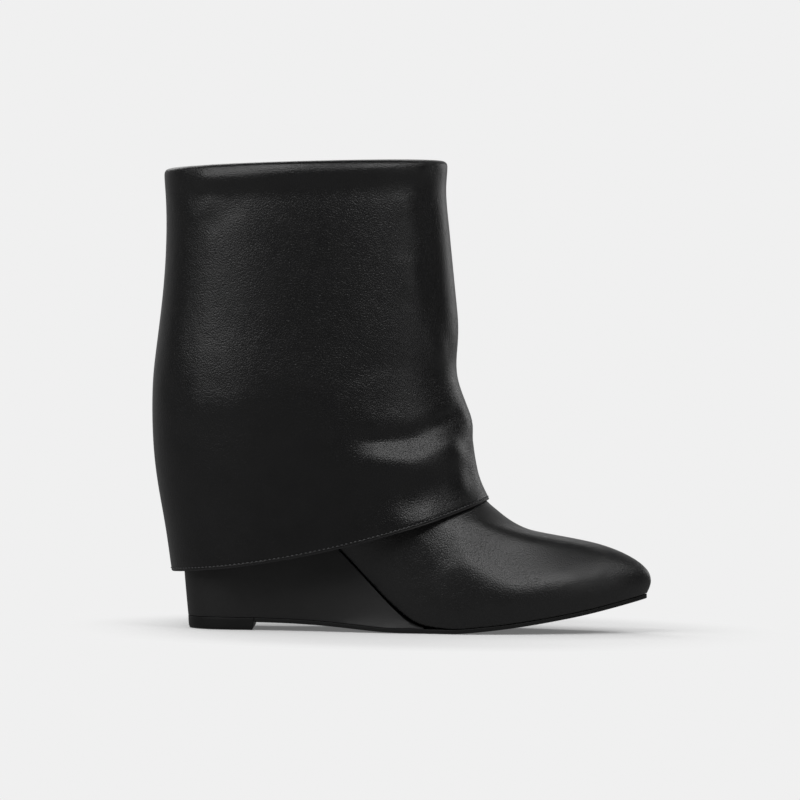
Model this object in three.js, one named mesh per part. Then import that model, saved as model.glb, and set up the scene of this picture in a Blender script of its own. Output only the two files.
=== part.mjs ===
// Fold-over wedge ankle boot, right foot, in millimetres.
// +X points to the toe, +Z up, -Y to the outer side of the foot.
// The origin is on the floor, under the middle of the top lift.

import * as THREE from "three";
import { mergeVertices } from "three/addons/utils/BufferGeometryUtils.js";

// Lengths along the foot
const lastLength = 250;          // feather line, from the back of the heel to the toe tip
const heelSeatBack = -24;        // back of the heel's feather line
const treadStart = 92;           // rear end of the flat tread under the ball
const treadLength = 33;          // flat tread that stands on the floor
const wedgeTip = 107;            // front end of the covered wedge
const topLiftLength = 36;

// Widths
const ballWidth = 80;            // feather line across the ball
const heelTipWidth = 49;         // top lift and foot of the wedge
const ankleWidth = 70;           // upper across the ankle
const collarWidth = 87;          // outside of the fold at the collar
const cuffWidth = 98;            // outside of the cuff where it is fullest
const toeSwing = 4;              // toe tip, inward of the heel's centre line

// Heights
const heelSeatHeight = 83.5;     // feather line at the back of the heel
const toeSpring = 18.5;          // underside of the sole at the toe tip
const instepHeight = 68;         // top of the vamp, where the hem crosses it
const collarHeight = 245.6;      // middle of the fold, at the front of the collar
const collarDrop = 6.2;          // how much lower the collar is at the back
const hemHeight = 29.5;          // hem of the cuff behind the heel
const hemRise = 40.5;            // how much higher the hem is in front
const hemDip = 7.2;              // how far the hem hangs below a straight line at its middle

// Plan of the foot, as shares of the last's length
const ballSkew = 0.02;           // how far the inner side of the ball lies ahead of its middle
const waistMiddle = 0.38;        // narrowest place of the arch
const waistReachBack = 0.22;     // how far its hollow reaches to the heel
const waistReachFront = 0.13;    // how far its hollow reaches to the ball
const waistTurn = 0.12;          // how much deeper it is on the inner side, as a share of its depth

// Thicknesses
const leatherWall = 1.8;         // upper with its lining
const cuffWall = 1.8;            // cuff with its lining
const outsoleThickness = 2.2;
const insoleThickness = 3;
const topLiftHeight = 6.3;
const heelRoundDepth = 24;       // length of the round back of the heel, at the floor
const heelRoundCurve = 2.4;      // how square that round back is, from 2 for an ellipse
const topLiftBevel = 1.2;        // at the floor, all round the top lift
const topLiftDraft = 0.3;        // how far its edge draws in from the wedge down to that bevel
const wedgeFlare = 0.7;          // the wedge widens upward, faster at the floor the less this is
const wedgeTipHollow = 0.65;     // open share of its height at each side of its front end, under the arch
const wedgeTipReach = 0.20;      // how far that hollow reaches back, as a share of the wedge's free length
const wedgeTipInset = 5;         // how deep it goes in from the side
const facingDepth = 26;          // cuff leather that goes down inside the collar
const snugDrop = 0.3;            // drop down to which the cuff lies against the shaft, as in the cuff's table
const clearance = 0.3;           // between pieces that touch

// Mesh density
const sideSteps = 20;            // along one side of a closed section, before the stations of the sole
const stationGap = 4;            // least distance kept from those stations
const denseRows = 9;             // rows of the upper's table that get one more section above them
const cuffSteps = 17;            // from the hem to the collar
const foldSteps = 5;             // round the fold at the collar

// Underside of the sole behind the tread, as shares of the way to the top lift and of its rise
const rearSoleRows = [
  { along: 0.00, rise: 0.00 },
  { along: 0.11, rise: 0.07 },
  { along: 0.25, rise: 0.33 },
  { along: 0.53, rise: 0.78 },
  { along: 0.78, rise: 0.96 },
  { along: 1.00, rise: 1.00 },
];

// Underside of the sole in front of the tread, as shares of the way to the toe and of the toe spring
const toeSpringRows = [
  { along: 0.00, rise: 0.000 },
  { along: 0.22, rise: 0.115 },
  { along: 0.42, rise: 0.290 },
  { along: 0.64, rise: 0.510 },
  { along: 0.85, rise: 0.790 },
  { along: 1.00, rise: 1.000 },
];

// Arch of the last above the sole, as shares of the last's length and of the heel seat's rise
const archRows = [
  { along: 0.000, rise: 1.000 },
  { along: 0.060, rise: 0.985 },
  { along: 0.136, rise: 0.930 },
  { along: 0.200, rise: 0.848 },
  { along: 0.260, rise: 0.735 },
  { along: 0.316, rise: 0.598 },
  { along: 0.376, rise: 0.412 },
  { along: 0.436, rise: 0.222 },
  { along: 0.476, rise: 0.105 },
  { along: 0.508, rise: 0.036 },
  { along: 0.540, rise: 0.006 },
  { along: 0.570, rise: 0.000 },
];

// Sections of the upper from the feather line up, each a closed loop from a point on the back line to one on
// the front line. front and back are shares of the last's length. frontRise runs from the toe's feather line, 0,
// over the instep, 1, to the collar, 2, and backRise from the heel seat, 0, to the collar, 1. ball and ankle add
// up shares of those widths. fullAt is where the section is widest, and the curve columns are how square its
// back and front are. waist draws in the arch, and sag is how far the section follows the arch of the last.
const upperRows = [
  { backRise: 0.000, back: 0.000, front: 1.000, frontRise: 0.000, ball: 1.00, ankle: 0.00,
    fullAt: 0.60, backCurve: 4.5, frontCurve: 1.50, frontSharp: 0.65, waist: 0.34, sag: 1.00 },
  { backRise: 0.036, back: -0.010, front: 1.009, frontRise: 0.125, ball: 1.05, ankle: 0.00,
    fullAt: 0.60, backCurve: 4.3, frontCurve: 1.55, frontSharp: 0.64, waist: 0.29, sag: 0.95 },
  { backRise: 0.081, back: -0.018, front: 1.004, frontRise: 0.244, ball: 1.03, ankle: 0.00,
    fullAt: 0.59, backCurve: 4.0, frontCurve: 1.60, frontSharp: 0.62, waist: 0.22, sag: 0.87 },
  { backRise: 0.139, back: -0.022, front: 0.964, frontRise: 0.414, ball: 0.75, ankle: 0.25,
    fullAt: 0.57, backCurve: 3.4, frontCurve: 1.70, frontSharp: 0.58, waist: 0.14, sag: 0.74 },
  { backRise: 0.197, back: -0.023, front: 0.896, frontRise: 0.552, ball: 0.50, ankle: 0.47,
    fullAt: 0.54, backCurve: 3.0, frontCurve: 1.80, frontSharp: 0.56, waist: 0.08, sag: 0.58 },
  { backRise: 0.256, back: -0.022, front: 0.816, frontRise: 0.632, ball: 0.30, ankle: 0.66,
    fullAt: 0.50, backCurve: 2.7, frontCurve: 1.90, frontSharp: 0.54, waist: 0.04, sag: 0.42 },
  { backRise: 0.314, back: -0.020, front: 0.748, frontRise: 0.693, ball: 0.15, ankle: 0.82,
    fullAt: 0.47, backCurve: 2.5, frontCurve: 2.00, frontSharp: 0.52, waist: 0.02, sag: 0.28 },
  { backRise: 0.372, back: -0.017, front: 0.696, frontRise: 0.838, ball: 0.00, ankle: 0.99,
    fullAt: 0.46, backCurve: 2.3, frontCurve: 1.90, frontSharp: 0.55, waist: 0.00, sag: 0.17 },
  { backRise: 0.430, back: -0.014, front: 0.660, frontRise: 0.990, ball: 0.00, ankle: 1.00,
    fullAt: 0.46, backCurve: 2.2, frontCurve: 1.90, frontSharp: 0.55, waist: 0.00, sag: 0.09 },
  { backRise: 0.489, back: -0.012, front: 0.620, frontRise: 1.065, ball: 0.00, ankle: 1.03,
    fullAt: 0.46, backCurve: 2.2, frontCurve: 2.00, frontSharp: 0.50, waist: 0.00, sag: 0.04 },
  { backRise: 0.547, back: -0.010, front: 0.588, frontRise: 1.170, ball: 0.00, ankle: 1.06,
    fullAt: 0.46, backCurve: 2.2, frontCurve: 2.00, frontSharp: 0.50, waist: 0.00, sag: 0.01 },
  { backRise: 0.620, back: -0.008, front: 0.564, frontRise: 1.305, ball: 0.00, ankle: 1.09,
    fullAt: 0.46, backCurve: 2.2, frontCurve: 2.00, frontSharp: 0.50, waist: 0.00, sag: 0.00 },
  { backRise: 0.700, back: -0.010, front: 0.550, frontRise: 1.463, ball: 0.00, ankle: 1.13,
    fullAt: 0.46, backCurve: 2.2, frontCurve: 2.00, frontSharp: 0.50, waist: 0.00, sag: 0.00 },
];

// Sections of the cuff's outside from the collar, drop 0, to the hem, drop 1. front and back are shares of the
// last's length, backDrop is the same drop on the back line, dip is a share of the hem's dip, and full runs from
// the collar's width, 0, to the cuff's, 1.
const cuffRows = [
  { drop: 0.000, front: 0.564, back: -0.040, backDrop: 0.000, dip: 0.00, full: 0.00, fullAt: 0.48, curve: 2.20 },
  { drop: 0.063, front: 0.560, back: -0.036, backDrop: 0.048, dip: 0.00, full: -0.06, fullAt: 0.48, curve: 2.20 },
  { drop: 0.177, front: 0.568, back: -0.033, backDrop: 0.130, dip: 0.00, full: 0.11, fullAt: 0.47, curve: 2.20 },
  { drop: 0.280, front: 0.576, back: -0.034, backDrop: 0.206, dip: 0.00, full: 0.24, fullAt: 0.46, curve: 2.20 },
  { drop: 0.383, front: 0.584, back: -0.038, backDrop: 0.288, dip: 0.00, full: 0.38, fullAt: 0.45, curve: 2.20 },
  { drop: 0.497, front: 0.592, back: -0.046, backDrop: 0.384, dip: 0.02, full: 0.56, fullAt: 0.45, curve: 2.25 },
  { drop: 0.609, front: 0.586, back: -0.055, backDrop: 0.480, dip: 0.06, full: 0.82, fullAt: 0.45, curve: 2.30 },
  { drop: 0.677, front: 0.598, back: -0.059, backDrop: 0.547, dip: 0.14, full: 1.00, fullAt: 0.46, curve: 2.30 },
  { drop: 0.731, front: 0.615, back: -0.058, backDrop: 0.628, dip: 0.28, full: 1.00, fullAt: 0.47, curve: 2.35 },
  { drop: 0.789, front: 0.622, back: -0.053, backDrop: 0.710, dip: 0.42, full: 0.91, fullAt: 0.48, curve: 2.40 },
  { drop: 0.851, front: 0.629, back: -0.044, backDrop: 0.782, dip: 0.56, full: 0.78, fullAt: 0.49, curve: 2.45 },
  { drop: 0.914, front: 0.634, back: -0.032, backDrop: 0.854, dip: 0.72, full: 0.64, fullAt: 0.50, curve: 2.50 },
  { drop: 0.957, front: 0.645, back: -0.021, backDrop: 0.921, dip: 0.88, full: 0.54, fullAt: 0.51, curve: 2.60 },
  { drop: 1.000, front: 0.662, back: -0.012, backDrop: 1.000, dip: 1.00, full: 0.48, fullAt: 0.52, curve: 2.70 },
];

// Sizes that follow from the ones above
const toeTip = heelSeatBack + lastLength;
const treadEnd = treadStart + treadLength;
const topLiftFront = topLiftLength / 2;
const topLiftBack = -topLiftLength / 2;
const rearSoleRise = topLiftHeight - outsoleThickness;
const heelSeatRise = heelSeatHeight - topLiftHeight - clearance;
const toeFeatherHeight = toeSpring + outsoleThickness + clearance;
const collarBackHeight = collarHeight - collarDrop;
const hemFrontHeight = hemHeight + hemRise;
const foldRadius = cuffWall + clearance + leatherWall / 2;

const up = new THREE.Vector3(0, 0, 1);
const { clamp, lerp, smoothstep } = THREE.MathUtils;

// Smooth curve through the rows of a table that never overshoots them
function tableCurve(rows, key, value) {
  const at = rows.map((row) => row[key]);
  const height = rows.map((row) => row[value]);
  const last = rows.length - 1;
  const slope = (i) => (height[i + 1] - height[i]) / (at[i + 1] - at[i]);
  const tangent = rows.map((_, i) => {
    if (i === 0) return slope(0);
    if (i === last) return slope(last - 1);
    const before = slope(i - 1);
    const after = slope(i);
    return before * after <= 0 ? 0 : (2 * before * after) / (before + after);
  });
  return (x) => {
    let i = 0;
    while (i < last - 1 && at[i + 1] < x) i += 1;
    const step = at[i + 1] - at[i];
    const u = clamp((x - at[i]) / step, 0, 1);
    const start = (1 + 2 * u) * (1 - u) ** 2 * height[i] + u * (1 - u) ** 2 * step * tangent[i];
    const end = u * u * (3 - 2 * u) * height[i + 1] - u * u * (1 - u) * step * tangent[i + 1];
    return start + end;
  };
}

// One curve for each column of a table, under the column's name
function tableCurves(rows, key) {
  const columns = Object.keys(rows[0]);
  return Object.fromEntries(columns.map((column) => [column, tableCurve(rows, key, column)]));
}

const rearSole = tableCurve(rearSoleRows, "along", "rise");
const frontSole = tableCurve(toeSpringRows, "along", "rise");
const archRise = tableCurve(archRows, "along", "rise");
const upperCurves = tableCurves(upperRows, "backRise");
const cuffCurves = tableCurves(cuffRows, "drop");

// Curve of the sole's underside
function soleCurve(x) {
  if (x < treadStart) return rearSoleRise * rearSole((treadStart - x) / (treadStart - topLiftFront));
  if (x > treadEnd) return toeSpring * frontSole((x - treadEnd) / (toeTip - treadEnd));
  return 0;
}

// Places along the last where every section has a point: closer together at the heel and toe, with one
// at each end of the tread, the wedge and the top lift, so that pieces that meet there meet edge on edge
function lastStations() {
  const sole = [topLiftFront, treadStart, wedgeTip, treadEnd];
  const nearest = (x) => Math.min(...sole.map((place) => Math.abs(place - x)));
  const even = Array.from({ length: sideSteps + 1 }, (_, i) => (1 - Math.cos((Math.PI * i) / sideSteps)) / 2);
  const between = even.map((share) => heelSeatBack + share * lastLength).filter((x) => nearest(x) > stationGap);
  return [...between, ...sole].sort((a, b) => a - b);
}

const stations = lastStations();
const sectionShares = stations.map((x) => (x - heelSeatBack) / lastLength);

// The same curve, straight from one station to the next
function stationLine(curve) {
  const heights = stations.map(curve);
  return (x) => {
    const found = stations.findIndex((station) => station > x);
    const i = found < 0 ? stations.length - 2 : Math.max(found - 1, 0);
    return lerp(heights[i], heights[i + 1], (x - stations[i]) / (stations[i + 1] - stations[i]));
  };
}

// Underside of the outsole
const soleUnderside = stationLine(soleCurve);

// Underside of the last, where the upper, the wedge and the sole meet
const lastUnderside = stationLine((x) => {
  const overSole = soleCurve(x) + outsoleThickness + clearance;
  return overSole + heelSeatRise * archRise((x - heelSeatBack) / lastLength);
});

// How much longer a square thickness is when it is measured straight up from the last's underside
function slantFactor(x) {
  return Math.hypot(1, (lastUnderside(x + 1) - lastUnderside(x - 1)) / 2);
}

// Top of the wedge, under the last
const wedgeTop = stationLine((x) => lastUnderside(x) - clearance * slantFactor(x));

// Side edge of the wedge's top: it leaves a small hollow under the arch at its front end
const wedgeTopEdge = stationLine((x) => {
  const hollowStart = lerp(wedgeTip, topLiftFront, wedgeTipReach);
  const hollow = wedgeTipHollow * smoothstep(x, hollowStart, wedgeTip);
  return lerp(wedgeTop(x), soleUnderside(x) + outsoleThickness + clearance, hollow);
});

// Sideways shift of the foot's centre line, which turns inward at the toe
function centreLine(x) {
  return toeSwing * Math.max(0, (x - heelSeatBack) / lastLength) ** 3;
}

// Share of a section's half width at a share of its length, round at the back and more or less pointed in front
function sectionShape(share, fullAt, backCurve, frontCurve, frontSharp) {
  if (share < fullAt) return (1 - ((fullAt - share) / fullAt) ** backCurve) ** 0.5;
  return (1 - ((share - fullAt) / (1 - fullAt)) ** frontCurve) ** frontSharp;
}

// How far the arch is drawn in at a share of the foot's length, more on the inner side of the foot
function waistShape(share, side) {
  const reach = share < waistMiddle ? waistReachBack : waistReachFront;
  return (1 + side * waistTurn) * Math.exp(-(((share - waistMiddle) / reach) ** 2));
}

// Point of the upper's outside on the section that starts at a share of the back line
function upperPoint(level, share, side) {
  const row = Object.fromEntries(Object.entries(upperCurves).map(([name, curve]) => [name, curve(level)]));
  const frontHeight = row.frontRise < 1
    ? lerp(toeFeatherHeight, instepHeight, row.frontRise)
    : lerp(instepHeight, collarHeight, row.frontRise - 1);
  const backHeight = lerp(heelSeatHeight, collarBackHeight, row.backRise);
  const arch = lastUnderside(heelSeatBack + share * lastLength) - lerp(heelSeatHeight, toeFeatherHeight, share);
  const x = heelSeatBack + lastLength * lerp(row.back, row.front, share);
  const half = (row.ball * ballWidth + row.ankle * ankleWidth) / 2;
  const fullAt = row.fullAt + side * ballSkew;
  const shape = sectionShape(share, fullAt, row.backCurve, row.frontCurve, row.frontSharp);
  const y = side * half * shape * (1 - row.waist * waistShape(share, side)) + centreLine(x);
  return new THREE.Vector3(x, y, lerp(backHeight, frontHeight, share) + row.sag * arch);
}

// Point of the cuff's outside at a drop below the collar
function cuffPoint(drop, share, side) {
  const row = Object.fromEntries(Object.entries(cuffCurves).map(([name, curve]) => [name, curve(drop)]));
  const frontHeight = lerp(collarHeight, hemFrontHeight, row.drop);
  const backHeight = lerp(collarBackHeight, hemHeight, row.backDrop);
  const x = heelSeatBack + lastLength * lerp(row.back, row.front, share);
  const half = lerp(collarWidth, cuffWidth, row.full) / 2;
  const y = side * half * sectionShape(share, row.fullAt, row.curve, row.curve, 0.5) + centreLine(x);
  const sag = 4 * share * (1 - share) * hemDip * row.dip;
  return new THREE.Vector3(x, y, lerp(backHeight, frontHeight, share) - sag);
}

// Closed loop that runs forward along the outer side and back along the inner side
function sectionRing(pointAt) {
  const outerSide = sectionShares.map((share) => pointAt(share, -1));
  const innerSide = sectionShares.slice(1, -1).reverse().map((share) => pointAt(share, 1));
  return [...outerSide, ...innerSide];
}

// Outward level direction at each point of a loop
function levelNormals(ring) {
  return ring.map((_, j) => {
    const before = ring[(j + ring.length - 1) % ring.length];
    const after = ring[(j + 1) % ring.length];
    return after.clone().sub(before).cross(up).setZ(0).normalize();
  });
}

// The same loop, moved inward on the level
function levelInset(ring, depth) {
  const normals = levelNormals(ring);
  return ring.map((point, j) => point.clone().addScaledVector(normals[j], -depth));
}

// The same loops, moved inward square to the surface that they lie on
function surfaceInset(rings, depth) {
  return rings.map((ring, k) => ring.map((point, j) => {
    const along = ring[(j + 1) % ring.length].clone().sub(ring[(j + ring.length - 1) % ring.length]);
    const above = rings[Math.min(k + 1, rings.length - 1)][j];
    const below = rings[Math.max(k - 1, 0)][j];
    const normal = along.cross(above.clone().sub(below)).normalize();
    return point.clone().addScaledVector(normal, -depth);
  }));
}

// Closed geometry from points and faces: points that coincide become one, and faces without area go
function closedGeometry(points, faces) {
  const raw = new THREE.BufferGeometry().setFromPoints(points);
  raw.setIndex(faces.flat());
  const merged = mergeVertices(raw, 1e-4);
  const index = merged.getIndex().array;
  const kept = [];
  for (let i = 0; i < index.length; i += 3) {
    const [a, b, c] = index.slice(i, i + 3);
    if (a !== b && b !== c && c !== a) kept.push(a, b, c);
  }
  merged.setIndex(kept);
  merged.computeVertexNormals();
  return merged;
}

// Faces of the band between loop k and loop m, each with count points
function bandFaces(k, m, count) {
  const faces = [];
  for (let j = 0; j < count; j += 1) {
    const next = (j + 1) % count;
    faces.push([k * count + j, k * count + next, m * count + next]);
    faces.push([k * count + j, m * count + next, m * count + j]);
  }
  return faces;
}

// Leather wall through a row of loops that closes on itself
function wallGeometry(rings) {
  const count = rings[0].length;
  const faces = rings.flatMap((_, k) => bandFaces(k, (k + 1) % rings.length, count));
  return closedGeometry(rings.flat(), faces);
}

// Solid slab through loops from its underside up, with its two caps laid in strips across the foot
function slabGeometry(rings) {
  const count = rings[0].length;
  const top = (rings.length - 1) * count;
  const faces = rings.slice(1).flatMap((_, k) => bandFaces(k, k + 1, count));
  for (let j = 0; j < count / 2 - 1; j += 1) {
    const across = count - 1 - j;
    faces.push([across, across - 1, j + 1], [across, j + 1, j]);
    faces.push([top + j, top + j + 1, top + across - 1], [top + j, top + across - 1, top + across]);
  }
  return closedGeometry(rings.flat(), faces);
}

// Half width of the feather line
function featherHalf(x, side) {
  const share = clamp((x - heelSeatBack) / lastLength, 0, 1);
  return Math.abs(upperPoint(0, share, side).y - centreLine(x));
}

// Place at the wedge's foot under a place on the heel seat: the heel draws in towards the floor
function footprintX(seatX) {
  const share = (seatX - heelSeatBack) / (topLiftFront - heelSeatBack);
  return share < 1 ? lerp(topLiftBack, topLiftFront, share) : seatX;
}

// Half width of the wedge's foot, the top lift and the rear sole, which draw in under the heel
function footprintHalf(x, side) {
  const behind = clamp((x - topLiftBack) / heelRoundDepth, 0, 1);
  const roundBack = (1 - (1 - behind) ** heelRoundCurve) ** 0.5;
  return roundBack * lerp(heelTipWidth / 2, featherHalf(wedgeTip, side), smoothstep(x, topLiftFront, wedgeTip));
}

// Half width of the outsole, one line from the top lift to the toe
function soleHalf(x, side) {
  return x < wedgeTip ? footprintHalf(x, side) : featherHalf(x, side);
}

// Loop of a sole piece through the stations between two places
function soleRing(start, end, pointAt) {
  const places = [start, ...stations.filter((x) => x > start && x < end), end];
  return [...places.map((x) => pointAt(x, -1)), ...places.reverse().map((x) => pointAt(x, 1))];
}

// Drops of the cuff's loops, from the hem up
const cuffDrops = Array.from({ length: cuffSteps + 1 }, (_, i) => 1 - i / cuffSteps);

// Outside of the upper from the feather line to the fold, which its last loops follow inside the cuff
function upperSkin() {
  const levels = upperRows.flatMap((row, i) => {
    const above = upperRows[i + 1];
    return above && i < denseRows ? [row.backRise, (row.backRise + above.backRise) / 2] : [row.backRise];
  });
  const foot = levels.map((level) => sectionRing((share, side) => upperPoint(level, share, side)));
  const shaft = cuffDrops.filter((drop) => drop < snugDrop).map((drop) => {
    const outside = sectionRing((share, side) => cuffPoint(drop, share, side));
    return levelInset(outside, cuffWall + clearance);
  });
  return [...foot, ...shaft];
}

// Outside of the cuff from the hem up, over the fold, and down the facing inside
function cuffSkin() {
  const outside = cuffDrops.map((drop) => sectionRing((share, side) => cuffPoint(drop, share, side)));
  const collar = outside[outside.length - 1];
  const normals = levelNormals(collar);
  const fold = Array.from({ length: foldSteps }, (_, i) => {
    const turn = (Math.PI * (i + 1)) / foldSteps;
    return collar.map((point, j) => point.clone()
      .addScaledVector(normals[j], foldRadius * (Math.cos(turn) - 1))
      .addScaledVector(up, foldRadius * Math.sin(turn)));
  });
  const facingDrop = facingDepth / (collarHeight - hemFrontHeight);
  const facingDrops = [...cuffDrops.filter((drop) => drop > 0 && drop < facingDrop).reverse(), facingDrop];
  const facing = facingDrops.map((drop) => {
    const ring = sectionRing((share, side) => cuffPoint(drop, share, side));
    return levelInset(ring, 2 * foldRadius);
  });
  return [...outside, ...fold, ...facing];
}

function upperGeometry() {
  const outside = upperSkin();
  const inside = surfaceInset(outside, leatherWall);
  inside[0] = levelInset(outside[0], leatherWall).map((point) => point.setZ(lastUnderside(point.x)));
  inside[inside.length - 1] = levelInset(outside[outside.length - 1], leatherWall);
  return wallGeometry([...outside, ...inside.reverse()]);
}

function cuffGeometry() {
  const outside = cuffSkin();
  return wallGeometry([...outside, ...surfaceInset(outside, cuffWall).reverse()]);
}

function insoleGeometry() {
  const feather = sectionRing((share, side) => upperPoint(0, share, side));
  const edge = levelInset(feather, leatherWall + clearance);
  const closed = [...edge.slice(0, stations.length), ...edge.slice(stations.length - 1), edge[0]];
  const underside = closed.map((point) => point.clone().setZ(lastUnderside(point.x)));
  const topside = underside.map((point) => {
    return point.clone().addScaledVector(up, insoleThickness * slantFactor(point.x));
  });
  return slabGeometry([underside, topside]);
}

function wedgeGeometry() {
  const levels = [0, 0.3, 0.65, 1];
  const topLoop = (width, heightAt) => soleRing(heelSeatBack, wedgeTip, (x, side) => {
    return new THREE.Vector3(x, side * width * featherHalf(x, side) + centreLine(x), heightAt(x));
  });
  const seat = topLoop(1, wedgeTopEdge);
  const innerSeat = topLoop(1 - (2 * wedgeTipInset) / ballWidth, wedgeTop);
  const foot = soleRing(heelSeatBack, wedgeTip, (seatX, side) => {
    const x = footprintX(seatX);
    const z = x < topLiftFront ? topLiftHeight : soleUnderside(x) + outsoleThickness;
    return new THREE.Vector3(x, side * footprintHalf(x, side) + centreLine(x), z + clearance);
  });
  const sides = levels.map((level) => foot.map((point, j) => {
    const flared = point.clone().lerp(seat[j], level ** wedgeFlare);
    return flared.setZ(lerp(point.z, seat[j].z, level));
  }));
  return slabGeometry([...sides, innerSeat]);
}

function topLiftGeometry() {
  const edge = (z, bevel) => soleRing(heelSeatBack, topLiftFront, (seatX, side) => {
    const x = footprintX(seatX);
    const shrink = 1 - (2 * bevel) / heelTipWidth;
    return new THREE.Vector3(x * shrink, (side * footprintHalf(x, side) + centreLine(x)) * shrink, z);
  });
  return slabGeometry([edge(0, topLiftBevel), edge(topLiftBevel, topLiftDraft), edge(topLiftHeight, 0)]);
}

function outsoleGeometry() {
  const start = topLiftFront + clearance;
  const edge = (rise) => soleRing(start, toeTip, (x, side) => {
    return new THREE.Vector3(x, side * soleHalf(x, side) + centreLine(x), soleUnderside(x) + rise);
  });
  return slabGeometry([edge(0), edge(outsoleThickness)]);
}

function blackLeather() {
  return new THREE.MeshStandardMaterial({ color: 0x1d1d1f, roughness: 0.42, metalness: 0 });
}

function wedgeCovering() {
  return new THREE.MeshStandardMaterial({ color: 0x202022, roughness: 0.55, metalness: 0 });
}

function soleRubber() {
  return new THREE.MeshStandardMaterial({ color: 0x161617, roughness: 0.7, metalness: 0 });
}

function insoleSock() {
  return new THREE.MeshStandardMaterial({ color: 0x26221f, roughness: 0.8, metalness: 0 });
}

function namedMesh(name, geometry, material) {
  const mesh = new THREE.Mesh(geometry, material);
  mesh.name = name;
  return mesh;
}

const boot = new THREE.Group();
boot.add(
  namedMesh("upper", upperGeometry(), blackLeather()),
  namedMesh("foldover_cuff", cuffGeometry(), blackLeather()),
  namedMesh("insole", insoleGeometry(), insoleSock()),
  namedMesh("wedge_heel", wedgeGeometry(), wedgeCovering()),
  namedMesh("outsole", outsoleGeometry(), soleRubber()),
  namedMesh("top_lift", topLiftGeometry(), soleRubber()),
);

export default boot;
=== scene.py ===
import math
from collections import namedtuple

import bpy
import numpy as np
from mathutils import Matrix, Vector


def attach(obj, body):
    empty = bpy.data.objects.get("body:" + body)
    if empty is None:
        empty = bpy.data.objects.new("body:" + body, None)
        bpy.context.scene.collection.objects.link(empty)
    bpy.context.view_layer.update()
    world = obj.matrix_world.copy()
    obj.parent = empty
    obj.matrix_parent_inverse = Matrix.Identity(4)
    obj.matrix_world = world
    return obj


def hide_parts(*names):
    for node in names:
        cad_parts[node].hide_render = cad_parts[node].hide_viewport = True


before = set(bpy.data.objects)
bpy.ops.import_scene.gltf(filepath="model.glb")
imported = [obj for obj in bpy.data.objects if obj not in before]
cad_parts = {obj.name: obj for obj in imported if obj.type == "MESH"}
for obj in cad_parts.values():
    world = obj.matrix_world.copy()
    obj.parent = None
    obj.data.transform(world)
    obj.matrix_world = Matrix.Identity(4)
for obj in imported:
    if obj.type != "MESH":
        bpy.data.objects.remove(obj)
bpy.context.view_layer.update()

MM = 0.001

# A soft fold seen from the side, in millimetres. path is x and z from one end of it to the other.
# rise is how far it stands out, less than 0 for a trough. above and below are its half widths, to
# the left and to the right of the way its path runs. ends are the lengths over which it fades.
Fold = namedtuple("Fold", "path rise above below ends")

# Folds of the cuff on the boot's outer side
OUTER_FOLDS = [
    # the valley over the main ridge, and the ridge
    Fold([(64, 102), (83, 101), (100.5, 104), (112, 109), (121, 114), (128, 117)], -2.2, 3.5, 9, (14, 6)),
    Fold([(66, 94), (83, 89.5), (101, 87), (111, 91), (119, 98), (125, 104)], 3.2, 9, 12, (16, 10)),
    # the arc round the flat pillow of leather above them, the pillow, and the bulge at its front
    Fold([(59, 119), (66, 132), (80, 139), (100, 138), (119, 131)], -0.3, 5, 5, (16, 8)),
    Fold([(70, 119), (93, 122), (120, 118)], -0.6, 12, 9, (12, 6)),
    Fold([(118, 112), (126, 112), (134, 111)], 1.2, 8, 6, (8, 2)),
    # the corner in front of the ridge, and the trough in front of the corner
    Fold([(123.2, 97), (122.8, 88.6), (124.6, 79), (128, 72)], 0.3, 2.5, 4, (8, 8)),
    Fold([(130.5, 101), (129.6, 95), (129.8, 87), (131.5, 79), (135, 72)], -0.9, 3.5, 3.5, (8, 8)),
    # the trough under the ridge, and the raised spot by the hem
    Fold([(84, 69.5), (103, 74), (120, 78)], -1.4, 9, 10, (14, 12)),
    Fold([(86, 49.5), (103, 54.5), (120, 59.5)], 2.1, 11, 9, (14, 12)),
    # the slanted pull under the rim at the back
    Fold([(-20, 212), (-12, 221), (-4, 229)], 0.45, 4, 5, (8, 8)),
    Fold([(-10, 206), (0, 216), (10, 226)], -0.4, 7, 5, (8, 8)),
    # the upright swells and trough at the front of the shaft, and the swell below them
    Fold([(94, 232), (96, 215)], 0.7, 6, 6, (6, 6)),
    Fold([(97, 200), (99, 172)], 0.8, 7, 7, (8, 10)),
    Fold([(107, 230), (108, 195), (111, 160)], -0.7, 5, 5, (12, 12)),
    Fold([(105, 147), (119, 150)], 0.8, 8, 8, (6, 6)),
    # the dent and the swell at the back, half way up
    Fold([(-30, 130), (-24, 119)], -0.7, 6, 6, (5, 5)),
    Fold([(-22, 117), (0, 117), (24, 120)], 0.8, 9, 7, (10, 14)),
    # the roll of the rim, and the trough under it
    Fold([(-20, 235.5), (14, 236.5), (50, 239), (88, 242), (110, 243.5)], 1.5, 4.5, 6, (10, 10)),
    Fold([(-22, 228), (14, 229), (50, 231.5), (88, 234.5), (110, 236)], -0.5, 4, 7, (8, 8)),
]

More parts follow.
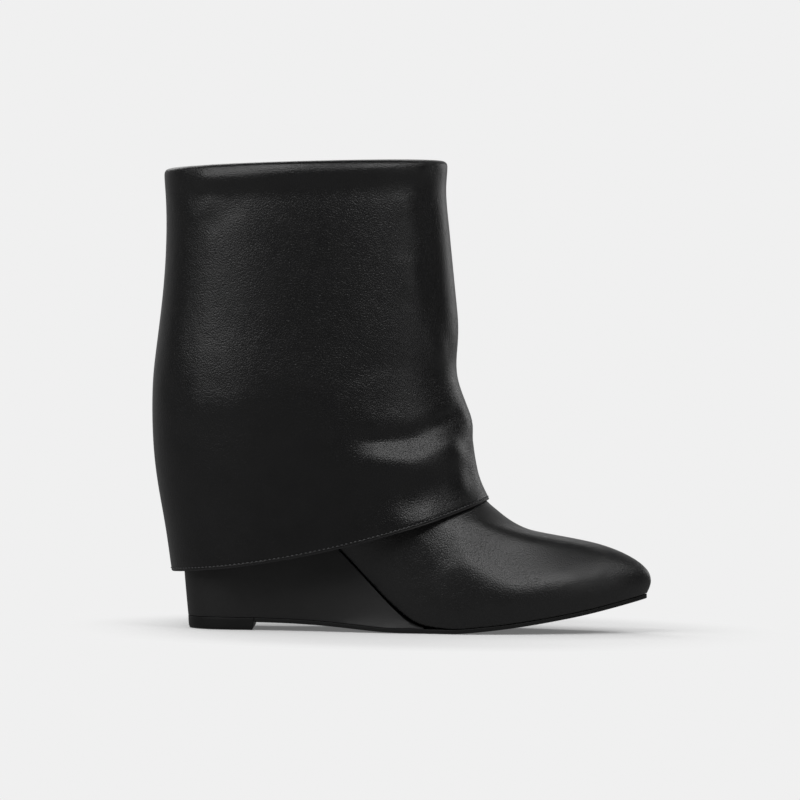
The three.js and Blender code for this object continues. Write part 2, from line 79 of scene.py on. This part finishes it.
# Folds of the cuff on the inner side of the foot
INNER_FOLDS = [
    # the valley over the main ridge, and the ridge
    Fold([(60, 105), (80, 103), (99, 105), (113, 109), (125, 112)], -2.0, 4, 9, (14, 3)),
    Fold([(60, 96), (80, 91), (99, 89), (111, 93), (118, 97)], 2.9, 9, 12, (16, 8)),
    # the arc round the pillow of leather above them, the pillow, and the bulge at its front
    Fold([(64, 122), (78, 136), (96, 140), (118, 133)], -1.0, 6, 5, (14, 8)),
    Fold([(74, 121), (97, 124), (120, 121)], 1.3, 9, 8, (12, 6)),
    Fold([(118, 112), (126, 112), (134, 111)], 1.2, 8, 6, (8, 2)),
    # the corner in front of the ridge, and the trough in front of the corner
    Fold([(125.5, 106), (123.5, 98), (123, 88), (125, 79)], 0.5, 2.5, 4, (4, 8)),
    Fold([(131, 105), (129.5, 98), (129.5, 88), (131, 80)], -1.0, 3, 3, (4, 8)),
    # the raised spot by the hem
    Fold([(74, 52), (90, 55), (106, 59)], 2.4, 10, 9, (12, 10)),
    # the slanted pull under the rim at the back
    Fold([(-18, 205), (-6, 217), (6, 225)], 0.7, 5, 5, (8, 8)),
    # the upright swell at the front of the shaft
    Fold([(92, 226), (95, 196), (99, 166)], 0.8, 7, 7, (14, 14)),
    # the swell at the back, half way up
    Fold([(-20, 114), (6, 116), (28, 121)], 0.8, 9, 7, (10, 14)),
    # the roll of the rim, and the trough under it
    Fold([(2, 237), (34, 238), (72, 240)], 2.0, 6, 9, (16, 16)),
    Fold([(-16, 230), (24, 231), (60, 235)], -0.8, 4, 5, (12, 16)),
]

# Swell along the lower side of the vamp and the hollow above it, the same on both sides
VAMP_FOLDS = [
    Fold([(116, 43.5), (130, 34), (141, 27), (154, 22), (168, 24), (183, 26.5), (199, 28), (207, 28)],
         2.1, 10, 12, (14, 30)),
    Fold([(128, 59), (138, 51), (152, 45), (168, 43.5), (190, 42), (203, 39)], -0.9, 5, 9, (10, 14)),
]

# How much of a fold is left at its ends, and within which share of the half width, on either side
# of the middle, the outer side's folds give way to the inner side's
LEFT_AT_ENDS = 0.15
SIDES_MEET = 0.25

# From the first height up the shaft lies close inside the cuff and takes its folds too, and the
# second is the height over which they grow
SHAFT_MEETS_CUFF = 178
FOLDS_GROW_OVER = 12

# The cuff and the foot in plan, in millimetres
Plan = namedtuple("Plan", "middle half_length half_width")
CUFF_PLAN = Plan(55, 85, 47)
FOOT_PLAN = Plan(110, 120, 40)

# The hem seen from the side, in millimetres
HEM_BACK_X = -27        # where it starts at the back of the cuff
HEM_LENGTH = 168.5      # from there to the front
HEM_HEIGHT = 29.5       # above the floor at the back
HEM_RISE = 40.5         # how much higher it is in front
HEM_DIP = 7.2           # how far it hangs below a straight line

# The row of stitches, in millimetres
STITCH_ABOVE_HEM = 1.7  # height of the sewing line above the hem
STITCH_PITCH = 2.4      # from one stitch to the next
STITCH_LENGTH = 1.5
THREAD_THICKNESS = 0.6
THREAD_LIFT = 0.06      # how far the thread's middle lies above the leather

# The sewing line is found with rays that run inward from all round
RAYS_ROUND = 900
RAY_START = 0.3         # metres from the cuff's middle
RAY_HEIGHT = 80         # millimetres, above the whole hem, where each ray starts
RAY_STEPS = 12          # in which it comes down to the line

# The slot between the wedge's covering and the vamp on the side, in millimetres
SLOT_LINE = [(62.1, 43.8), (99.7, 3.3)]     # x and z at its two ends
SLOT_WIDTH = 0.7        # how wide it opens
SLOT_REACH = 3          # how far from it the covering gives way
SLOT_FROM_X = (46, 58)  # over which x and which z that sets in
SLOT_FROM_Z = (3, 8)

COAT_ROUGHNESS = 0.3    # of the leather's finish

# Marks on the cuff's leather, in millimetres: where each one starts to fade, and where it is gone
SEWING_GROOVE = (0.15, 0.55)    # on either side of the sewing line
BACK_SEAM = (0.12, 0.7)         # on either side of the middle
SEAM_ENDS = (0, 20)             # in x, since the seam is only at the back
EDGE_HIGHLIGHT_BAND = (0.1, 0.6)           # above the hem, a band of painted highlight along its edge

MERGE_WITHIN = 0.01     # millimetres, closer places are one
FLAT_WITHIN = 45        # degrees, triangles that meet flatter than this make one face, if its
SQUARE_WITHIN = 75      # corners are this near to square
SKIN_ENDS_AT = 62       # degrees, sharper edges bound the outer skin of a wall
SMOOTH_WITHIN = 50      # degrees, softer edges look smooth on a piece with rounded edges
LOOKS_DOWN = -0.8       # a face looks down where its normal's z is less

# The camera, level with the ankle and a little rolled
CAMERA_PLACE = (0.093, -2.2, 0.1216)    # metres
CAMERA_ROLL = -0.8      # degrees
LENS = 186.8            # millimetres
SENSOR_WIDTH = 36       # millimetres

# Softboxes that face one point of the boot from one distance, in metres, degrees and watts. turned
# is the angle to the right of the camera as seen from the boot, raised the angle above level.
Softbox = namedtuple("Softbox", "turned raised size power")
LIT_POINT = (0.06, 0, 0.14)
SOFTBOX_DISTANCE = 1.6
SOFTBOXES = [
    Softbox(-54, 31, (1.2, 0.8), 7.8),
    Softbox(40, 39, (0.75, 0.5), 6.0),
    Softbox(80, 40, (0.5, 0.4), 1.4),
    Softbox(-18, 47, (0.6, 0.5), 5.6),
    Softbox(58, 8, (0.3, 0.4), 0.55),
    Softbox(136, 10, (0.4, 0.45), 0.9),
    Softbox(180, 44, (0.9, 0.6), 3.2),
    Softbox(-148, 36, (1.0, 0.7), 4.5),
]

# Brightness of the studio
PALE = 0.871            # as the camera sees it
ALL_ROUND = 0.45        # of the light that it casts all round
GLOSS_ALL_ROUND = 0.02  # as the leather's gloss shows it all round
GLOSS_BEHIND = 0.3      # and what is added to that behind the boot
BEHIND_BOOT = (0.1, 0.9)    # between these shares of a direction that points away from the camera

FLOOR_SIZE = 40         # metres
FLOOR_DROP = 0.0002     # metres below the boot, so that the two share no face
FLOOR_PAINT = 0.8       # of the floor by the boot, which takes light and shadow
SHADOW_DEPTH = 0.85     # how much of it does
FLOOR_IN_GLOSS = 0.18   # brightness of the floor in the leather's gloss
UNDER_BOOT_X = 110      # millimetres, from here the floor is near within the first distance and
NEAR_FLOOR = (130, 200)     # far, which is evenly pale, beyond the second


class Shade:
    """A value on the surface of one material. Sums and products add its Math nodes."""

    def __init__(self, tree, socket=None):
        self.tree = tree
        self.socket = socket

    def node(self, kind, settings=None, inputs=None, output=0):
        made = self.tree.nodes.new("ShaderNode" + kind)
        for name, value in (settings or {}).items():
            setattr(made, name, value)
        for name, value in (inputs or {}).items():
            if isinstance(value, Shade):
                self.tree.links.new(value.socket, made.inputs[name])
            else:
                made.inputs[name].default_value = value
        return Shade(self.tree, made.outputs[output])

    def math(self, operation, *values):
        return self.node("Math", {"operation": operation}, dict(enumerate(values)))

    def __add__(self, other):
        return self.math("ADD", self, other)

    def __radd__(self, other):
        return self.math("ADD", other, self)

    def __sub__(self, other):
        return self.math("SUBTRACT", self, other)

    def __rsub__(self, other):
        return self.math("SUBTRACT", other, self)

    def __mul__(self, other):
        return self.math("MULTIPLY", self, other)

    def __rmul__(self, other):
        return self.math("MULTIPLY", other, self)

    def __truediv__(self, other):
        return self.math("DIVIDE", self, other)

    def __abs__(self):
        return self.math("ABSOLUTE", self)

    def between(self, low, high):
        """0 below low and 1 above high, soft in between."""
        settings = {"interpolation_type": "SMOOTHSTEP"}
        return self.node("MapRange", settings, {"Value": self, "From Min": low, "From Max": high})

    def colour(self, low, high):
        """One colour where the value is 0, the other where it is 1."""
        return self.node("Mix", {"data_type": "RGBA"}, {0: self, 6: (*low, 1), 7: (*high, 1)}, 2)


def grey(brightness):
    return (brightness, brightness, brightness, 1)


def new_material(name):
    """A material, and the places on its surface in metres."""
    material = bpy.data.materials.new(name)
    material.use_nodes = True
    return material, Shade(material.node_tree).node("TexCoord", output="Object")


def axis_of(place, axis):
    """The X, Y or Z of a place, in millimetres."""
    return place.node("SeparateXYZ", inputs={0: place}, output=axis) / MM


def waves(value, pitch):
    """Sine waves a pitch apart."""
    turn = value * (2 * math.pi / pitch)
    return turn.math("SINE", turn)


def speckle(place, size, detail=2.0):
    """Soft noise from 0 to 1 with lumps of a size in millimetres."""
    inputs = {"Vector": place, "Scale": 1 / (size * MM), "Detail": detail}
    return place.node("TexNoise", inputs=inputs)


def pebbles(place, size):
    """Leather grain: 1 in the middle of each pebble, falling to its edge."""
    inputs = {"Vector": place, "Scale": 1 / (size * MM), "Randomness": 0.9}
    away = place.node("TexVoronoi", {"feature": "F1"}, inputs)
    return 1 - away * away * 2.0


def finish_material(material, colour, roughness, height, coat=0.0, specular=0.5):
    """Wires the Principled shader: height is in millimetres."""
    shader = material.node_tree.nodes["Principled BSDF"]
    shader.inputs["Coat Weight"].default_value = coat
    shader.inputs["Coat Roughness"].default_value = COAT_ROUGHNESS
    shader.inputs["Specular IOR Level"].default_value = specular
    bump = height.node("Bump", inputs={"Strength": 1.0, "Distance": MM, "Height": height})
    for name, value in {"Base Color": colour, "Roughness": roughness, "Normal": bump}.items():
        value.tree.links.new(value.socket, shader.inputs[name])
    return material


def hem_height(x):
    """Height of the cuff's hem, in millimetres."""
    share = (x - HEM_BACK_X) / HEM_LENGTH
    return HEM_HEIGHT + HEM_RISE * share - 4 * HEM_DIP * share * (1 - share)


def leather_skin(place):
    """Black pebbled leather: height in millimetres, patches of tint from 0 to 1, and roughness."""
    grain = pebbles(place, 0.75)
    pores = speckle(place, 0.35)
    unevenness = speckle(place, 10, detail=1.0)
    height = grain * 0.06 + pores * 0.005 + unevenness * 0.2
    roughness = 0.32 - grain * 0.05 + speckle(place, 6) * 0.07
    return height, speckle(place, 15), roughness


def upper_leather():
    """The leather of the vamp and the quarters."""
    material, place = new_material("upper leather")
    height, patches, roughness = leather_skin(place)
    # Painted light: this leather is set several times paler than the cuff's, though both are one black
    # leather, for the floor's glow on the vamp's lower side
    colour = patches.colour((0.0045, 0.0045, 0.0047), (0.0065, 0.0064, 0.0065))
    return finish_material(material, colour, roughness, height, coat=0.1, specular=0.58)


def cuff_leather():
    """The cuff's leather, with its sewing line above the hem, a painted highlight along the hem's edge and
    its back seam.
    """
    material, place = new_material("cuff leather")
    height, patches, roughness = leather_skin(place)
    x = axis_of(place, "X")
    above = axis_of(place, "Z") - hem_height(x)
    groove = 1 - abs(above - STITCH_ABOVE_HEM).between(*SEWING_GROOVE)
    at_back = 1 - x.between(*SEAM_ENDS)
    seam = (1 - abs(axis_of(place, "Y")).between(*BACK_SEAM)) * at_back
    # Painted highlight: the leather is coloured pale just above the hem, standing in for the light that
    # its rounded edge catches
    painted_edge_highlight = 1 - above.between(*EDGE_HIGHLIGHT_BAND)
    tint = patches * 0.06 + painted_edge_highlight * 0.9
    # Painted shade: the cuff's leather is set several times darker than the vamp's, though both are one
    # black leather, to hold down the light on its flat middle
    colour = tint.colour((0.0012, 0.0012, 0.0014), (0.045, 0.044, 0.044))
    height = height - groove * 0.2 - seam * 0.35
    return finish_material(material, colour, roughness + seam * 0.2, height, coat=0.1)


def lining_cloth():
    """Black woven lining on the inside of the shaft."""
    material, place = new_material("lining cloth")
    thread_pitch = 0.9
    warp = waves(axis_of(place, "Z"), thread_pitch)
    weft = waves(axis_of(place, "X") + axis_of(place, "Y"), thread_pitch)
    weave = warp * weft
    fuzz = speckle(place, 0.6)
    colour = (weave * 0.3 + fuzz * 0.7).colour((0.012, 0.012, 0.013), (0.03, 0.029, 0.03))
    height = weave * 0.06 + fuzz * 0.05
    return finish_material(material, colour, 0.8 + fuzz * 0.15, height, specular=0.3)


def wedge_covering():
    """Smooth leather drawn over the wedge, almost without grain."""
    material, place = new_material("wedge covering")
    grain = pebbles(place, 0.6)
    pores = speckle(place, 0.4)
    unevenness = speckle(place, 18, detail=1.0)
    height = grain * 0.01 + pores * 0.006 + unevenness * 0.12
    colour = speckle(place, 12).colour((0.0095, 0.0095, 0.0096), (0.0125, 0.0123, 0.0124))
    return finish_material(material, colour, 0.45 + speckle(place, 5) * 0.08, height, specular=0.35)


def sole_rubber():
    """Thin rubber of the sole's edge and the top lift's side."""
    material, place = new_material("sole rubber")
    colour = speckle(place, 7).colour((0.003, 0.003, 0.0032), (0.005, 0.0049, 0.0049))
    roughness = 0.5 + speckle(place, 3) * 0.1
    return finish_material(material, colour, roughness, speckle(place, 0.5) * 0.02, specular=0.35)


def ribbed_tread():
    """The rubber underneath, a little paler, with fine cross ribs."""
    material, place = new_material("ribbed tread")
    rib_pitch = 2.8
    height = waves(axis_of(place, "X"), rib_pitch) * 0.22 + speckle(place, 0.5) * 0.03
    colour = speckle(place, 7).colour((0.009, 0.009, 0.0092), (0.016, 0.0158, 0.0158))
    return finish_material(material, colour, 0.6 + speckle(place, 3) * 0.1, height)


def insole_sock():
    """Soft sock lining glued on the insole."""
    material, place = new_material("insole sock")
    height = pebbles(place, 0.9) * 0.04 + speckle(place, 12) * 0.2
    colour = speckle(place, 10).colour((0.017, 0.0155, 0.0145), (0.028, 0.026, 0.024))
    return finish_material(material, colour, 0.62 + speckle(place, 4) * 0.15, height)


def sewing_thread():
    """Black waxed thread, coloured a dark grey paler than the leather: painted highlight that makes the
    stitches show as light dots.
    """
    material, place = new_material("sewing thread")
    twist_pitch = 0.5
    twist = waves(axis_of(place, "X") + axis_of(place, "Z"), twist_pitch)
    # Painted highlight: the thread's colour is set paler than black so that the stitches read as lit dots
    colour = speckle(place, 2).colour((0.04, 0.04, 0.042), (0.07, 0.07, 0.072))
    return finish_material(material, colour, 0.36 + speckle(place, 1) * 0.1, twist * 0.02)


def studio_floor():
    """Pale floor that lies in soft light by the boot and is evenly pale farther off."""
    material, place = new_material("studio floor")
    nodes = material.node_tree.nodes
    nodes.remove(nodes["Principled BSDF"])
    along, across = axis_of(place, "X") - UNDER_BOOT_X, axis_of(place, "Y")
    squared = along * along + across * across
    far = squared.math("SQRT", squared).between(*NEAR_FLOOR) * SHADOW_DEPTH + (1 - SHADOW_DEPTH)
    near_paint = place.node("BsdfDiffuse", inputs={"Color": grey(FLOOR_PAINT)})
    far_paint = place.node("Emission", inputs={"Color": grey(PALE), "Strength": 1.0})
    paint = place.node("MixShader", inputs={0: far, 1: near_paint, 2: far_paint})
    dim = place.node("Emission", inputs={"Color": grey(FLOOR_IN_GLOSS), "Strength": 1.0})
    glossy = place.node("LightPath", output="Is Glossy Ray")
    whole = place.node("MixShader", inputs={0: glossy, 1: paint, 2: dim})
    whole.tree.links.new(whole.socket, nodes["Material Output"].inputs["Surface"])
    return material


def place_camera():
    """Looks straight at the outer side, turned a little about its own line of sight."""
    rotation = (math.radians(90), math.radians(CAMERA_ROLL), 0)
    bpy.ops.object.camera_add(location=CAMERA_PLACE, rotation=rotation)
    camera = bpy.context.object
    camera.data.sensor_width = SENSOR_WIDTH
    camera.data.lens = LENS
    bpy.context.scene.camera = camera


def hang_softbox(box):
    turned, raised = math.radians(box.turned), math.radians(box.raised)
    level = math.cos(raised)
    away = Vector((level * math.sin(turned), -level * math.cos(turned), math.sin(raised)))
    place = Vector(LIT_POINT) + away * SOFTBOX_DISTANCE
    bpy.ops.object.light_add(type="AREA", location=place, rotation=away.to_track_quat("Z", "Y").to_euler())
    light = bpy.context.object.data
    light.shape = "RECTANGLE"
    light.size, light.size_y = box.size
    light.energy = box.power


def light_studio():
    """Softboxes in a pale room that the leather's gloss sees mostly behind the boot."""
    for box in SOFTBOXES:
        hang_softbox(box)
    world = bpy.data.worlds.new("studio")
    bpy.context.scene.world = world
    world.use_nodes = True
    world.cycles.sampling_method = "NONE"
    start = Shade(world.node_tree)
    direction = start.node("TexCoord", output="Generated")
    away = start.node("SeparateXYZ", inputs={0: direction}, output="Y")
    behind = away.between(*BEHIND_BOOT)
    seen = start.node("LightPath", output="Is Camera Ray")
    glossy = start.node("LightPath", output="Is Glossy Ray")
    in_gloss = glossy * (GLOSS_ALL_ROUND + behind * GLOSS_BEHIND)
    strength = seen * PALE + in_gloss + (1 - seen) * (1 - glossy) * ALL_ROUND
    sky = world.node_tree.nodes["Background"]
    sky.inputs["Color"].default_value = grey(1)
    world.node_tree.links.new(strength.socket, sky.inputs["Strength"])
    bpy.context.scene.view_settings.view_transform = "Standard"


def lay_floor():
    bpy.ops.object.select_all(action="DESELECT")
    bpy.ops.mesh.primitive_plane_add(size=FLOOR_SIZE, location=(0, 0, -FLOOR_DROP))
    floor = bpy.context.object
    floor.name = "studio_floor"
    bpy.ops.object.transform_apply(location=True, rotation=False, scale=False)
    floor.data.materials.append(studio_floor())


def only(piece):
    """Selects one piece and makes it the active one."""
    bpy.ops.object.select_all(action="DESELECT")
    piece.select_set(True)
    bpy.context.view_layer.objects.active = piece


def copy_of(node, name):
    """Copy of a CAD node as one merged mesh of four-sided faces."""
    piece = bpy.data.objects.new(name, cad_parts[node].data.copy())
    bpy.context.scene.collection.objects.link(piece)
    piece.data.materials.clear()
    only(piece)
    bpy.ops.object.mode_set(mode="EDIT")
    bpy.ops.mesh.select_all(action="SELECT")
    bpy.ops.mesh.remove_doubles(threshold=MERGE_WITHIN * MM)
    flat, square = math.radians(FLAT_WITHIN), math.radians(SQUARE_WITHIN)
    bpy.ops.mesh.tris_convert_to_quads(face_threshold=flat, shape_threshold=square)
    bpy.ops.object.mode_set(mode="OBJECT")
    return piece


def keep_edges(piece, angle, crease):
    """Marks the edges sharper than an angle, so that they stay crisp when the piece is subdivided."""
    mesh = piece.data
    normals = {}
    for face in mesh.polygons:
        for key in face.edge_keys:
            normals.setdefault(key, []).append(face.normal)
    marks = mesh.attributes.new("crease_edge", "FLOAT", "EDGE")
    for edge in mesh.edges:
        sides = normals.get(edge.key, [])
        if len(sides) == 2 and sides[0].angle(sides[1], 0) > math.radians(angle):
            marks.data[edge.index].value = crease


def subdivide(piece, levels):
    """Rounds a piece off between its kept edges."""
    only(piece)
    rounding = piece.modifiers.new("rounding", "SUBSURF")
    rounding.levels = levels
    rounding.render_levels = levels
    bpy.ops.object.modifier_apply(modifier=rounding.name)
    bpy.ops.object.shade_smooth()


def soften(piece, width, angle, segments=2):
    """Small round, a width in millimetres, on the edges that are sharper than an angle."""
    only(piece)
    bevel = piece.modifiers.new("soft edge", "BEVEL")
    bevel.width = width * MM
    bevel.segments = segments
    bevel.limit_method = "ANGLE"
    bevel.angle_limit = math.radians(angle)
    bpy.ops.object.modifier_apply(modifier=bevel.name)
    bpy.ops.object.shade_smooth_by_angle(angle=math.radians(SMOOTH_WITHIN))


def line_inside(piece, leather, lining):
    """Leather on the skin that the hindmost face lies on, and lining on the rest of the wall."""
    piece.data.materials.append(lining)
    piece.data.materials.append(leather)
    only(piece)
    bpy.ops.object.mode_set(mode="EDIT")
    bpy.ops.mesh.select_all(action="DESELECT")
    bpy.ops.object.mode_set(mode="OBJECT")
    min(piece.data.polygons, key=lambda face: face.center.x).select = True
    bpy.ops.object.mode_set(mode="EDIT")
    bpy.context.tool_settings.mesh_select_mode = (False, False, True)
    bpy.ops.mesh.faces_select_linked_flat(sharpness=math.radians(SKIN_ENDS_AT))
    piece.active_material_index = 1
    bpy.ops.object.material_slot_assign()
    bpy.ops.object.mode_set(mode="OBJECT")


def smooth_step(values, low, high):
    """0 below low and 1 above high, soft in between."""
    t = np.clip((values - low) / (high - low), 0, 1)
    return t * t * (3 - 2 * t)


def fade_at_end(distance, length):
    return LEFT_AT_ENDS + (1 - LEFT_AT_ENDS) * smooth_step(distance, 0, length)


def fold_relief(x, z, fold):
    """How far one fold moves the places x, z outward, all in millimetres."""
    points = np.array(fold.path, float)
    steps = np.diff(points, axis=0)
    lengths = np.hypot(steps[:, 0], steps[:, 1])
    starts = np.concatenate([[0], np.cumsum(lengths)])
    nearest = np.full(x.shape, np.inf)
    along = np.zeros(x.shape)
    side = np.zeros(x.shape)
    for (px, pz), (dx, dz), length, start in zip(points[:-1], steps, lengths, starts[:-1]):
        t = np.clip(((x - px) * dx + (z - pz) * dz) / length**2, 0, 1)
        away = np.hypot(x - px - t * dx, z - pz - t * dz)
        closer = away < nearest
        nearest = np.where(closer, away, nearest)
        along = np.where(closer, start + t * length, along)
        side = np.where(closer, dx * (z - pz) - dz * (x - px), side)
    width = np.where(side > 0, fold.above, fold.below)
    first, last = fold.ends
    fade = fade_at_end(along, first) * fade_at_end(starts[-1] - along, last)
    return fold.rise * fade * np.exp(-((nearest / width) ** 2))


def places_of(piece):
    """The places of a piece's points, in millimetres."""
    places = np.zeros(len(piece.data.vertices) * 3)
    piece.data.vertices.foreach_get("co", places)
    return places.reshape(-1, 3) / MM


def set_places(piece, places):
    """Moves a piece's points to places in millimetres."""
    piece.data.vertices.foreach_set("co", (places * MM).ravel())
    piece.data.update()
    piece.update_tag()
    bpy.context.view_layer.update()


def lay_folds(piece, plan, outer_folds, inner_folds, lowest=None):
    """Moves both faces of a wall together, outward on the level, from the lowest height up if given."""
    places = places_of(piece)
    x, y, z = places.T
    out_x = (x - plan.middle) / plan.half_length**2
    out_y = y / plan.half_width**2
    size = np.hypot(out_x, out_y)
    outer_side = smooth_step(-y / plan.half_width, -SIDES_MEET, SIDES_MEET)
    outer = sum(fold_relief(x, z, fold) for fold in outer_folds)
    inner = sum(fold_relief(x, z, fold) for fold in inner_folds)
    relief = outer * outer_side + inner * (1 - outer_side)
    if lowest is not None:
        relief = relief * smooth_step(z, lowest, lowest + FOLDS_GROW_OVER)
    places[:, 0] += relief * out_x / size
    places[:, 1] += relief * out_y / size
    set_places(piece, places)


def open_slot(wedge):
    """Draws the covering's upper rim back from the vamp, so that the slot between them shows dark."""
    places = places_of(wedge)
    x, _, z = places.T
    (x1, z1), (x2, z2) = SLOT_LINE
    length = math.hypot(x2 - x1, z2 - z1)
    below = -((x - x1) * (z2 - z1) - (z - z1) * (x2 - x1)) / length
    sets_in = smooth_step(x, *SLOT_FROM_X) * smooth_step(z, *SLOT_FROM_Z)
    shift = SLOT_WIDTH * np.exp(-((below / SLOT_REACH) ** 2)) * sets_in
    places[:, 0] += shift * (z2 - z1) / length
    places[:, 2] -= shift * (x2 - x1) / length
    set_places(wedge, places)


def sewing_line(cuff):
    """Points and normals on the cuff all round its sewing line."""
    line = []
    for i in range(RAYS_ROUND):
        turn = 2 * math.pi * i / RAYS_ROUND
        out = Vector((math.cos(turn), math.sin(turn), 0))
        height = RAY_HEIGHT
        for _ in range(RAY_STEPS):
            start = Vector((CUFF_PLAN.middle, 0, height)) * MM + out * RAY_START
            _, point, normal, _ = cuff.ray_cast(start, -out)
            height += (hem_height(point.x / MM) + STITCH_ABOVE_HEM - height) / 2
        line.append((point, normal))
    return line


def stitch_places(line):
    """Point, normal and direction of each stitch, evenly apart along a closed line."""
    ends = line[1:] + line[:1]
    steps = [(b[0] - a[0]).length for a, b in zip(line, ends)]
    count = round(sum(steps) / (STITCH_PITCH * MM))
    pitch = sum(steps) / count
    places, walked = [], 0.0
    for (a, normal), (b, _), step in zip(line, ends, steps):
        while len(places) * pitch < walked + step and len(places) < count:
            share = (len(places) * pitch - walked) / step
            places.append((a.lerp(b, share), normal, (b - a).normalized()))
        walked += step
    return places


def sew_hem(cuff):
    """One row of thread, each stitch pressed a little into the leather."""
    bpy.ops.object.select_all(action="DESELECT")
    bpy.ops.mesh.primitive_uv_sphere_add(segments=6, ring_count=5, radius=0.5)
    bead = bpy.context.object
    size = Matrix.Diagonal((STITCH_LENGTH * MM, THREAD_THICKNESS * MM, THREAD_THICKNESS * MM, 1))
    stitches = []
    for point, normal, along in stitch_places(sewing_line(cuff)):
        across = normal.cross(along).normalized()
        turn = Matrix((along, across, along.cross(across))).transposed().to_4x4()
        stitch = bpy.data.objects.new("stitch", bead.data.copy())
        stitch.data.transform(Matrix.Translation(point + normal * THREAD_LIFT * MM) @ turn @ size)
        bpy.context.scene.collection.objects.link(stitch)
        stitches.append(stitch)
    bpy.data.objects.remove(bead)
    bpy.ops.object.select_all(action="DESELECT")
    for stitch in stitches:
        stitch.select_set(True)
    bpy.context.view_layer.objects.active = stitches[0]
    bpy.ops.object.join()
    row = bpy.context.object
    row.name = "hem_stitches"
    row.data.materials.append(sewing_thread())
    bpy.ops.object.shade_smooth()
    return row


def give_tread(piece, rubber, tread):
    """Ribbed rubber on the faces that look down, smooth rubber on the others."""
    piece.data.materials.append(rubber)
    piece.data.materials.append(tread)
    for face in piece.data.polygons:
        face.material_index = int(face.normal.z < LOOKS_DOWN)


def dress(piece, node):
    """The piece stands for a CAD node on the boot's one body."""
    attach(piece, "root")
    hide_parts(node)


def make_upper(lining):
    upper = copy_of("upper", "upper_leather")
    line_inside(upper, upper_leather(), lining)
    keep_edges(upper, angle=50, crease=0.75)
    subdivide(upper, 2)
    lay_folds(upper, FOOT_PLAN, VAMP_FOLDS, VAMP_FOLDS)
    lay_folds(upper, CUFF_PLAN, OUTER_FOLDS, INNER_FOLDS, lowest=SHAFT_MEETS_CUFF)
    dress(upper, "upper")


def make_cuff(lining):
    cuff = copy_of("foldover_cuff", "folded_cuff")
    line_inside(cuff, cuff_leather(), lining)
    keep_edges(cuff, angle=50, crease=0.6)
    subdivide(cuff, 2)
    lay_folds(cuff, CUFF_PLAN, OUTER_FOLDS, INNER_FOLDS)
    dress(cuff, "foldover_cuff")
    stitches = sew_hem(cuff)
    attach(stitches, "root")


def make_insole():
    insole = copy_of("insole", "insole_board")
    insole.data.materials.append(insole_sock())
    keep_edges(insole, angle=50, crease=0.7)
    subdivide(insole, 2)
    dress(insole, "insole")


def make_wedge():
    wedge = copy_of("wedge_heel", "covered_wedge")
    wedge.data.materials.append(wedge_covering())
    keep_edges(wedge, angle=50, crease=1.0)
    subdivide(wedge, 3)
    open_slot(wedge)
    soften(wedge, width=0.5, angle=40, segments=3)
    dress(wedge, "wedge_heel")


def make_sole():
    rubber, tread = sole_rubber(), ribbed_tread()
    outsole = copy_of("outsole", "sole_sheet")
    give_tread(outsole, rubber, tread)
    keep_edges(outsole, angle=50, crease=1.0)
    subdivide(outsole, 2)
    soften(outsole, width=0.9, angle=40, segments=3)
    dress(outsole, "outsole")
    lift = copy_of("top_lift", "heel_tip")
    give_tread(lift, rubber, tread)
    keep_edges(lift, angle=35, crease=1.0)
    subdivide(lift, 2)
    soften(lift, width=0.3, angle=30)
    dress(lift, "top_lift")


place_camera()
light_studio()
lay_floor()
lining = lining_cloth()
make_upper(lining)
make_cuff(lining)
make_insole()
make_wedge()
make_sole()
